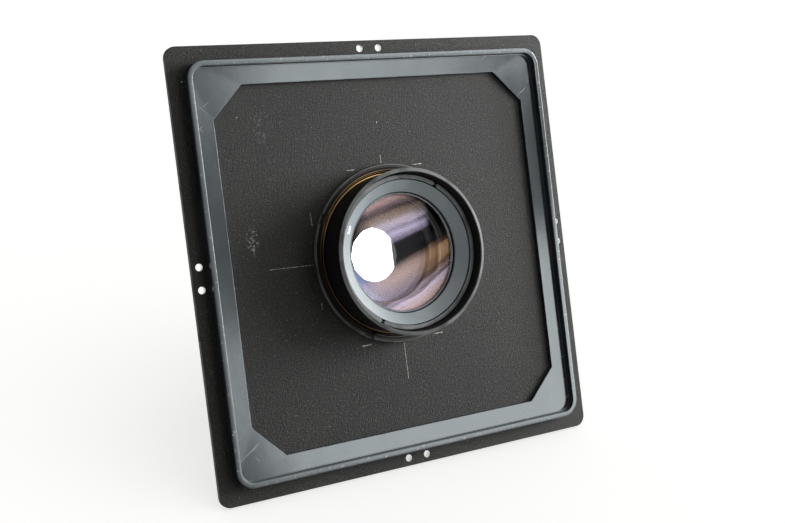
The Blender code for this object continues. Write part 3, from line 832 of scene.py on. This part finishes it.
def on_wall(angle, radius, height):
    """A place on a cylinder's wall, facing away from the axis, with y along the axis."""
    c, s = cos(radians(angle)), sin(radians(angle))
    matrix = Matrix(((-s, 0, c), (c, 0, s), (0, 1, 0))).to_4x4()
    matrix.translation = Vector((radius * c, radius * s, height))
    return matrix


def along_radius(angle, height):
    """A frame whose axis points away from the lens axis."""
    turn = Matrix.Rotation(radians(angle), 4, "Z") @ Matrix.Rotation(pi / 2, 4, "Y")
    return FROM_MM @ Matrix.Translation((0.0, 0.0, height)) @ turn


def refine(node, look, width):
    """Keeps a CAD node's shape, gives it its material and rounds its edges by a width."""
    piece = frame["nodes"][node]
    piece.data.materials.clear()
    piece.data.materials.append(look.material)
    if width:
        weld = piece.modifiers.new("weld", "WELD")
        weld.merge_threshold = 1e-6
        bevel = piece.modifiers.new("edges", "BEVEL")
        bevel.width = width * MM
        bevel.segments = 2
        bevel.limit_method = "ANGLE"
        bevel.angle_limit = SHARP_ANGLE
        bevel.harden_normals = True


# ---- board and light trap

BOARD_CORNER_R = 4.5
BOARD_EDGE = 0.3
LOCATING_HOLE, LOCATING_HOLE_R = (0.0, -34.4), 1.2
TRAP_CORNER_R = 7.2
TRAP_RIM_WIDTH = 2.1
TRAP_FLANGE_TOP = 1.6
TRAP_OPENING_HALF = 70.1
TRAP_GUSSET_LEG = 12.7
TRAP_FOOT = 0.03
TRAP_SIDE_STEPS = 48
TRAP_CORNER_STEPS = 12


def make_board(paint):
    hole_r, _, bottom, top = reach("lens_board_plate")
    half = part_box("lens_board_plate")[1].x / MM
    outlines = [rounded_square(half, BOARD_CORNER_R, 16), circle(hole_r, 120),
                circle(LOCATING_HOLE_R, 20, LOCATING_HOLE)]
    for turn in range(4):
        spin = Matrix.Rotation(radians(90 * turn), 2)
        for side in (-1, 1):
            spot = spin @ Vector((side * SMALL_HOLE_PITCH / 2, SMALL_HOLE_OFFSET))
            outlines.append(circle(SMALL_HOLE_R, 32, spot))
    mesh = plate_mesh("board_panel", outlines, top, bottom, BOARD_EDGE)
    finished("board_panel", mesh, paint, ("lens_board_plate",))


# Scratched lines: centre, direction in degrees, length and width.
SCRIBED_LINES = (
    (-0.8, 37.9, 90, 3.5, 0.22), (-45.2, -0.3, -1, 19.0, 0.15), (-0.1, -43.5, 90.5, 15.0, 0.16),
    (-14.8, 34.6, 0, 3.6, 0.24), (15.7, 34.6, 1, 4.6, 0.26), (-17.0, -34.7, 2, 4.3, 0.27),
    (16.4, -34.7, 1, 4.3, 0.25), (-34.6, 17.1, 92, 5.0, 0.22), (-34.6, -16.8, 88, 2.9, 0.2),
    (-0.6, 52.6, 80, 0.9, 0.3), (-80.0, 72.4, 30, 0.7, 0.5),
)


def make_scribed_lines(bare):
    """Layout lines of a square round the shutter hole and of the board's middles, and two nicks."""
    bars = []
    for x, y, way, length, width in SCRIBED_LINES:
        place = Matrix.Translation((x, y, 0.0)) @ Matrix.Rotation(radians(way), 4, "Z")
        bars.append(bar(length, width, 0.03, place))
    finished("scribed_layout_lines", joined("scribed_layout_lines", bars), bare)


def wander(point, size, grain):
    """A small steady waviness for worn edges."""
    return size * noise.noise(Vector((point[0], point[1], 0.0)) / grain)


def make_light_trap(satin):
    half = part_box("light_trap_frame")[1].x / MM
    top = reach("light_trap_frame")[3]
    wall, flange = TRAP_RIM_WIDTH, TRAP_FLANGE_TOP

    def ring(inset, height, rough=0.0):
        path = rounded_square(half - inset, TRAP_CORNER_R - inset, TRAP_CORNER_STEPS, TRAP_SIDE_STEPS)
        return [(p.x, p.y, height - abs(wander(p, rough, 1.7))) for p in path]

    def opening(inset, height, rough=0.0):
        path = gusseted_square(TRAP_OPENING_HALF + inset, TRAP_GUSSET_LEG, TRAP_CORNER_STEPS,
                               TRAP_SIDE_STEPS)
        return [(*(p * (1 + wander(p, rough, 2.3))), height) for p in path]

    loops = [
        ring(0.0, TRAP_FOOT), ring(0.0, top - 0.4), ring(0.1, top - 0.13, 0.1), ring(0.38, top, 0.05),
        ring(wall - 0.35, top, 0.03), ring(wall - 0.1, top - 0.1, 0.06), ring(wall, top - 0.35),
        ring(wall, flange + 0.5), ring(wall + 0.15, flange + 0.12), ring(wall + 0.5, flange),
        opening(0.3, flange), opening(0.08, flange - 0.08, 0.0012), opening(0.0, flange - 0.3, 0.0016),
        opening(0.0, TRAP_FOOT),
    ]
    looped("light_trap", loops, satin, ("light_trap_frame",))


# ---- shutter

RING_SLOTS = (152.0, 62.0, -28.0, -118.0)
THREAD_PITCH = 0.375
THREAD_DEPTH = 0.25
SOCKET_SEAT = 51.3
LEVER_GAP = 0.4
# Each lever's window in the case wall: its middle, and from where to where in degrees.
LEVER_WINDOWS = (
    ("aperture_lever", -90.0, -23.0, 17.5), ("preview_lever", 120.0, -4.0, 21.5),
    ("cocking_lever", 58.0, -4.0, 46.5), ("release_lever", 20.0, -9.0, 9.0),
)
SPEEDS = "B 1 2 4 8 15 30 60 125".split()
STOPS = "5.6 8 11 16 22 32 45".split()
CABLE_AT, CABLE_HEIGHT = 4.0, -29.5
SYNC_AT, SYNC_HEIGHT = 196.0, -16.0


def make_retaining_ring(look):
    bore, outer, low, high = reach("retaining_ring")
    ring = section((outer, low), (outer, high), (34.15, high), (33.95, high - 0.35), (33.3, high - 0.35),
                   (bore, high - 0.9), (bore, low))
    turned("threaded_retaining_ring", eased(ring, 0.15), look, ("retaining_ring",), sides=NOTCHED_SIDES,
           shape=notches(RING_SLOTS, 3.2, 34.2, 34.2, low + 0.4))


def window_tool(outer, node, middle, start, end):
    """The block that cuts a lever's window out of the case wall."""
    low, high = reach(node)[2:]
    path = sector(outer - 3.3, outer + 1.5, middle + start, middle + end, 12)
    mesh = plate_mesh("window", [path], high + LEVER_GAP, low - LEVER_GAP, 0.01)
    mesh.transform(FROM_MM)
    return added("window", mesh)


def make_housing(enamel):
    case = eased(traced("shutter_housing"), 0.35)
    case = ridged(case, 32.2, -2.2, 1.0, THREAD_PITCH, THREAD_DEPTH)
    body = turned("shutter_case", case, enamel, ("shutter_housing",))
    outer = reach("shutter_housing")[1]
    tools = [window_tool(outer, *window) for window in LEVER_WINDOWS]
    for tool in tools:
        cut = body.modifiers.new("window", "BOOLEAN")
        cut.operation = "DIFFERENCE"
        cut.object = tool
    mesh = evaluated_mesh(body)
    body.modifiers.clear()
    body.data = mesh
    clean(mesh, 2e-6)
    mesh.set_sharp_from_angle(angle=SHARP_ANGLE)
    for tool in tools:
        bpy.data.objects.remove(tool)


def make_cover(black, chrome, white):
    retraced("shutter_front_cover", "shutter_front_plate", 0.25, black)
    _, outer, low, high = reach("speed_ring")
    dial = eased(cut_at(plain_ring("speed_ring"), outer, low + 0.5, high - 0.5), 0.3)
    grip = flutes(20, 0.8, low + 0.3, high - 0.3, outer - 0.6)
    turned("speed_dial", dial, black, ("speed_ring",), "speed_setting", NOTCHED_SIDES, grip)
    slots = notches((30.0, 150.0, 270.0), 1.6, 39.2, 39.2)
    retraced("speed_dial_retainer", "speed_ring_retainer", 0.15, chrome, NOTCHED_SIDES, slots)
    figures = []
    for i, text in enumerate(SPEEDS):
        angle = 130.0 + 14.0 * i
        figures.append(figure(text, 3.4, on_face(angle, 46.6, low, front=True)))
        figures.append(bar(1.6, 0.3, 0.05, on_face(angle, 50.0, low) @ QUARTER_TURN))
    finished("speed_figures", joined("speed_figures", figures), white, (), "speed_setting")


def make_aperture_scale(satin, white):
    inner, outer, low, high = reach("aperture_scale")
    path = sector(outer, inner, -118, -62, 40)
    mesh = plate_mesh("aperture_scale_band", [path], high, low, 0.08)
    finished("aperture_scale_band", mesh, satin, ("aperture_scale",))
    marks = []
    for i, text in enumerate(STOPS):
        angle = -110.5 + 7.0 * i
        marks.append(figure(text, 1.9, on_wall(angle, outer, low + 1.3), 0.04))
        marks.append(bar(1.2, 0.22, 0.04, on_wall(angle, outer, high - 0.8) @ QUARTER_TURN))
    finished("aperture_figures", joined("aperture_figures", marks), white)


def make_sockets(chrome):
    seat = SOCKET_SEAT
    cable = eased(section((2.8, seat), (2.8, seat + 2.6), (2.4, seat + 3.0), (2.4, seat + 8.0),
                          (1.6, seat + 8.0), (0.7, seat + 3.0), (0.7, seat)), 0.2)
    cable = ridged(cable, 2.4, seat + 3.1, seat + 8.0, 0.5, 0.15)
    turned("cable_socket", cable, chrome, ("cable_release_socket",), sides=96,
           shape=flutes(16, 0.25, seat + 0.3, seat + 2.5, 2.6), place=along_radius(CABLE_AT, CABLE_HEIGHT))
    sync = eased(section((3.2, seat), (3.2, seat + 5.0), (2.4, seat + 5.0), (2.4, seat + 2.0),
                         (1.0, seat + 2.0), (1.0, seat)), 0.2)
    turned("sync_socket", sync, chrome, ("flash_sync_socket",), sides=96,
           place=along_radius(SYNC_AT, SYNC_HEIGHT))


# ---- lens cells

LENS_STEPS = 16
LOCK_SLOTS = (58.0, 239.0)
# Height of the rear conical ring at its inner edge, and the place of the figures on it.
CONE_FOOT = 8.3
CELL_FIGURES = (155.0, 26.4, 10.04)


def element(name, node, rear_sag, front_sag, look):
    """A lens element, from the heights of its two bulges; a hollow face has a negative one."""
    _, radius, low, high = reach(node)
    share = [i / LENS_STEPS for i in range(LENS_STEPS + 1)]
    rear_edge = high - max(rear_sag, 0.0)
    front_edge = low + max(front_sag, 0.0)
    rear = [Vector((radius * s, rear_edge + rear_sag * (1 - s * s))) for s in share]
    front = [Vector((radius * s, front_edge - front_sag * (1 - s * s))) for s in reversed(share)]
    return turned(name, rear + front, look, (node,))


def make_rear_cell(looks):
    barrel = ridged(eased(traced("rear_barrel"), 0.22), 31.05, 12.3, 16.2, 0.6, -0.2)
    turned("rear_cell_barrel", barrel, looks["rear barrel"], ("rear_barrel",), sides=FINE_SIDES)
    spanner_ring("rear_spanner_ring", "rear_lock_ring", looks["black"], LOCK_SLOTS, 1.4, 29.5, 29.7)
    retraced("rear_cone_ring", "rear_name_ring", 0.12, looks["grey"], FINE_SIDES)
    retraced("rear_glass_lip", "rear_glass_retainer", 0.1, looks["lip"], FINE_SIDES)
    element("rear_element", "rear_outer_glass", 3.4, -1.0, looks["rear glass"])
    element("rear_inner_element", "rear_inner_glass", -1.2, -1.6, looks["inner glass"])
    for node in ("rear_spacer", "rear_inner_retainer"):
        retraced(node + "_ring", node, 0.1, looks["matt"], 120)
    cone_in, cone_out, _, high = reach("rear_name_ring")
    tilt = Matrix.Rotation(atan2(high - CONE_FOOT, cone_out - cone_in), 4, "X")
    finished("cell_figures", figure("300", 2.3, on_face(*CELL_FIGURES) @ tilt, 0.04), looks["white"])


def make_front_cell(looks):
    barrel = eased(cut_at(traced("front_barrel"), 46.5, -48.0, -58.0), 0.3)
    turned("front_cell_barrel", barrel, looks["black"], ("front_barrel",), sides=KNURLED_SIDES,
           shape=flutes(80, 0.5, -58.2, -47.8, 46.0))
    low = reach("front_filter_ring")[2]
    rim = ridged(eased(traced("front_filter_ring"), 0.3), 46.8, low + 0.5, -60.6, 0.75, -0.35)
    turned("front_filter_thread", rim, looks["front rim"], ("front_filter_ring",), sides=FINE_SIDES)
    retraced("front_cone_ring", "front_name_ring", 0.15, looks["black"])
    spanner_ring("front_spanner_ring", "front_lock_ring", looks["black"], (20.0, 200.0), 2.0, 41.6, 41.9)
    retraced("front_spacer_cone", "front_spacer", 0.15, looks["matt"])
    element("front_element", "front_outer_glass", -3.5, 4.4, looks["front glass"])
    element("front_middle_element", "front_middle_glass", -1.5, -3.0, looks["front glass"])
    inner = element("front_inner_element", "front_inner_glass", -1.4, -1.4, looks["dark glass"])
    retraced("front_inner_retaining_ring", "front_inner_retainer", 0.1, looks["matt"])
    # The inner element's rear faces get the glowing field: painted light in place of the bright background seen
    # through the lens.
    inner.data.materials.append(looks["field"].material)
    axis = BOARD.to_3x3().col[2]
    for face in inner.data.polygons:
        face.material_index = int(face.normal.dot(axis) > 0.5)


# ---- inner works

EDGE_WIDTH = 0.12


def finish_inner_works(looks):
    """CAD nodes that keep their shape get their own material and, but for the blades, round edges."""
    nodes = {
        "steel": ("iris_pivot_plate", "iris_cam_ring", "shutter_sector_ring", "shutter_pivot_plate",
                  "retard_cassette", "locating_screw"),
        "chrome": ("preview_lever", "cocking_lever", "release_lever"),
        "black": ("aperture_lever",),
        "brass": ("mainspring_drum",),
        "blades": [node for node in frame["nodes"] if "_blade_" in node],
    }
    for look, group in nodes.items():
        for node in group:
            refine(node, looks[look], 0.0 if look == "blades" else EDGE_WIDTH)


# ---- stage, light and camera

CAMERA_SPOT = (-238.1, 11.3, 416.0)
CAMERA_AIM = (-1.0, -3.3, 0.0)
CAMERA_UP = (0.1195, 0.9923, 0.0326)
FOCAL_LENGTH = 54.88
SENSOR_WIDTH = 36.0
FLOOR_HALF = 6.0
BOX_DISTANCE = 1.2
# Strength of the surroundings at the left, at the right, and where the camera sees them.
SKY_LEFT, SKY_RIGHT, SKY_SEEN = 0.12, 1.05, 1.0


def make_camera():
    spot, aim = FROM_MM @ Vector(CAMERA_SPOT), FROM_MM @ Vector(CAMERA_AIM)
    back = (spot - aim).normalized()
    right = (BOARD.to_3x3() @ Vector(CAMERA_UP)).cross(back).normalized()
    data = bpy.data.cameras.new("camera")
    data.lens = FOCAL_LENGTH
    data.sensor_width = SENSOR_WIDTH
    data.clip_start = 0.01
    camera = added("camera", data)
    camera.matrix_world = frame_at(right, back, spot)
    bpy.context.scene.camera = camera


def soft_box(name, azimuth, elevation, width, height, radiance, unlit):
    """A soft box seen from the unit at an azimuth right of -Y and an elevation, in degrees."""
    side, rise = radians(azimuth), radians(elevation)
    way = Vector((sin(side) * cos(rise), -cos(side) * cos(rise), sin(rise)))
    low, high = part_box("rear_barrel")
    data = bpy.data.lights.new(name, "AREA")
    data.shape = "RECTANGLE"
    data.size = 2 * BOX_DISTANCE * tan(radians(width / 2))
    data.size_y = 2 * BOX_DISTANCE * tan(radians(height / 2))
    data.energy = radiance * pi * data.size * data.size_y
    lamp = added(name, data)
    lamp.location = low.lerp(high, 0.5) + way * BOX_DISTANCE
    lamp.rotation_euler = (-way).to_track_quat("-Z", "Y").to_euler()
    lamp.visible_camera = False
    lamp.light_linking.receiver_collection = unlit


def make_floor():
    """A pale floor that only the surroundings light, so that it carries just a contact shadow."""
    f = FLOOR_HALF
    mesh = mesh_of("floor", [(-f, -f, 0), (f, -f, 0), (f, f, 0), (-f, f, 0)], [(0, 1, 2, 3)])
    surface = bpy.data.materials.new("pale_floor")
    surface.use_nodes = True
    shader = surface.node_tree.nodes["Principled BSDF"]
    for socket, value in (
        ("Base Color", (0.6, 0.597, 0.585, 1.0)), ("Emission Color", (1.0, 1.0, 0.995, 1.0)),
        ("Emission Strength", 0.675), ("Roughness", 0.8), ("Specular IOR Level", 0.1),
    ):
        shader.inputs[socket].default_value = value
    mesh.materials.append(surface)
    floor = added("floor", mesh)
    unlit = bpy.data.collections.new("not_lit_by_boxes")
    unlit.objects.link(floor)
    unlit.collection_objects[0].light_linking.link_state = "EXCLUDE"
    return unlit


def make_sky():
    """Surroundings that are brighter to the right, and even and white for the camera."""
    world = bpy.data.worlds.new("studio")
    bpy.context.scene.world = world
    world.use_nodes = True
    tree = world.node_tree
    sky = tree.nodes["Background"]
    sky.inputs["Color"].default_value = (1.0, 0.995, 0.985, 1.0)
    way, split, side, rays, seen = (
        tree.nodes.new("ShaderNode" + kind)
        for kind in ("TexCoord", "SeparateXYZ", "MapRange", "LightPath", "Mix"))
    side.inputs["From Min"].default_value = -1.0
    side.inputs["To Min"].default_value = SKY_LEFT
    side.inputs["To Max"].default_value = SKY_RIGHT
    seen.inputs["B"].default_value = SKY_SEEN
    for source, target in (
        (way.outputs["Generated"], split.inputs[0]), (split.outputs["X"], side.inputs["Value"]),
        (rays.outputs["Is Camera Ray"], seen.inputs["Factor"]), (side.outputs["Result"], seen.inputs["A"]),
        (seen.outputs["Result"], sky.inputs["Strength"]),
    ):
        tree.links.new(source, target)


def make_studio():
    bpy.context.scene.view_settings.view_transform = "Standard"
    make_sky()
    unlit = make_floor()
    soft_box("right_key", 76.0, 15.0, 30.0, 30.0, 36.0, unlit)
    soft_box("low_front", 37.5, 9.0, 34.0, 17.0, 6.2, unlit)
    soft_box("high_front", 46.0, 39.8, 36.0, 24.0, 5.8, unlit)
    soft_box("overhead", 0.0, 88.0, 50.0, 50.0, 1.2, unlit)


# Painted reflection streaks across a coating, from its lower right: place in millimetres, red, green and blue.
OUTER_STREAKS = (
    (-24.0, 0.64, 0.48, 0.45), (-21.5, 0.68, 0.52, 0.58), (-19.0, 0.68, 0.58, 0.73),
    (-17.4, 0.08, 0.06, 0.09), (-15.5, 0.26, 0.17, 0.13), (-13.1, 0.14, 0.08, 0.05),
    (-11.0, 0.42, 0.25, 0.14), (-7.5, 0.46, 0.28, 0.16), (-5.2, 0.34, 0.20, 0.11),
    (-4.2, 0.01, 0.01, 0.01), (4.6, 0.01, 0.01, 0.012), (6.2, 0.22, 0.19, 0.28),
    (8.5, 0.40, 0.36, 0.50), (10.2, 0.16, 0.13, 0.18), (11.8, 0.46, 0.40, 0.50),
    (13.4, 0.30, 0.25, 0.28), (15.0, 0.20, 0.15, 0.12), (16.6, 0.17, 0.12, 0.10),
    (18.0, 0.03, 0.024, 0.028), (19.6, 0.16, 0.11, 0.12), (21.5, 0.44, 0.29, 0.28),
    (24.0, 0.26, 0.18, 0.18),
)
INNER_STREAKS = (
    (-19.0, 0.25, 0.25, 0.38), (-16.0, 0.36, 0.34, 0.46), (-13.5, 0.32, 0.29, 0.38),
    (-11.0, 0.38, 0.33, 0.40), (-8.0, 0.30, 0.25, 0.29), (-6.2, 0.15, 0.12, 0.12),
    (-5.0, 0.02, 0.02, 0.02), (0.0, 0.008, 0.008, 0.008), (19.0, 0.02, 0.02, 0.022),
)


def make_looks():
    return {
        "crackle": crackle_look(),
        "trap": trap_look(),
        "ring": retainer_look(),
        "enamel": enamel_look(),
        "black": turned_black("black_anodising", *ALL_OVER),
        "rear barrel": turned_black("rear_barrel_anodising", 15.7, 15.95, 0.5, 0.1),
        "front rim": turned_black("front_rim_anodising", -80.9, -81.6),
        "matt": turned_black("matt_black", *ALL_OVER),
        "grey": satin_grey_look(),
        "lip": metal_look("bright_lip", "satin_grey", (0.06, 0.062, 0.065), 0.3),
        "chrome": metal_look("satin_chrome", "satin_chrome", (0.62, 0.62, 0.64), 0.24),
        "steel": metal_look("brushed_steel", "steel", (0.42, 0.42, 0.43), 0.36),
        "brass": metal_look("turned_brass", "brass", (0.62, 0.42, 0.17), 0.3),
        "blades": blade_look(),
        "white": paint_look(),
        "scribe": scribe_look(),
        # Both streaked coatings carry painted reflections.
        "rear glass": streaked_glass_look("rear_painted_reflections", OUTER_STREAKS, 24.0, 18.0,
                                          (0.0, 30.0, 1.0), 0.35),
        "inner glass": streaked_glass_look("inner_painted_reflections", INNER_STREAKS, 19.0, 16.0,
                                           (INNER_CENTRE, INNER_REACH, 0.2), 1.0),
        "front glass": plain_glass_look("front_coating", (0.52, 0.38, 0.80), 0.06),
        "dark glass": dark_glass_look(),
        "field": glow_field_look(),
    }


def main():
    make_camera()
    make_studio()
    looks = make_looks()
    make_board(looks["crackle"])
    make_scribed_lines(looks["scribe"])
    make_light_trap(looks["trap"])
    make_retaining_ring(looks["ring"])
    make_housing(looks["enamel"])
    make_cover(looks["black"], looks["chrome"], looks["white"])
    make_aperture_scale(looks["grey"], looks["white"])
    make_sockets(looks["chrome"])
    make_rear_cell(looks)
    make_front_cell(looks)
    finish_inner_works(looks)


main()
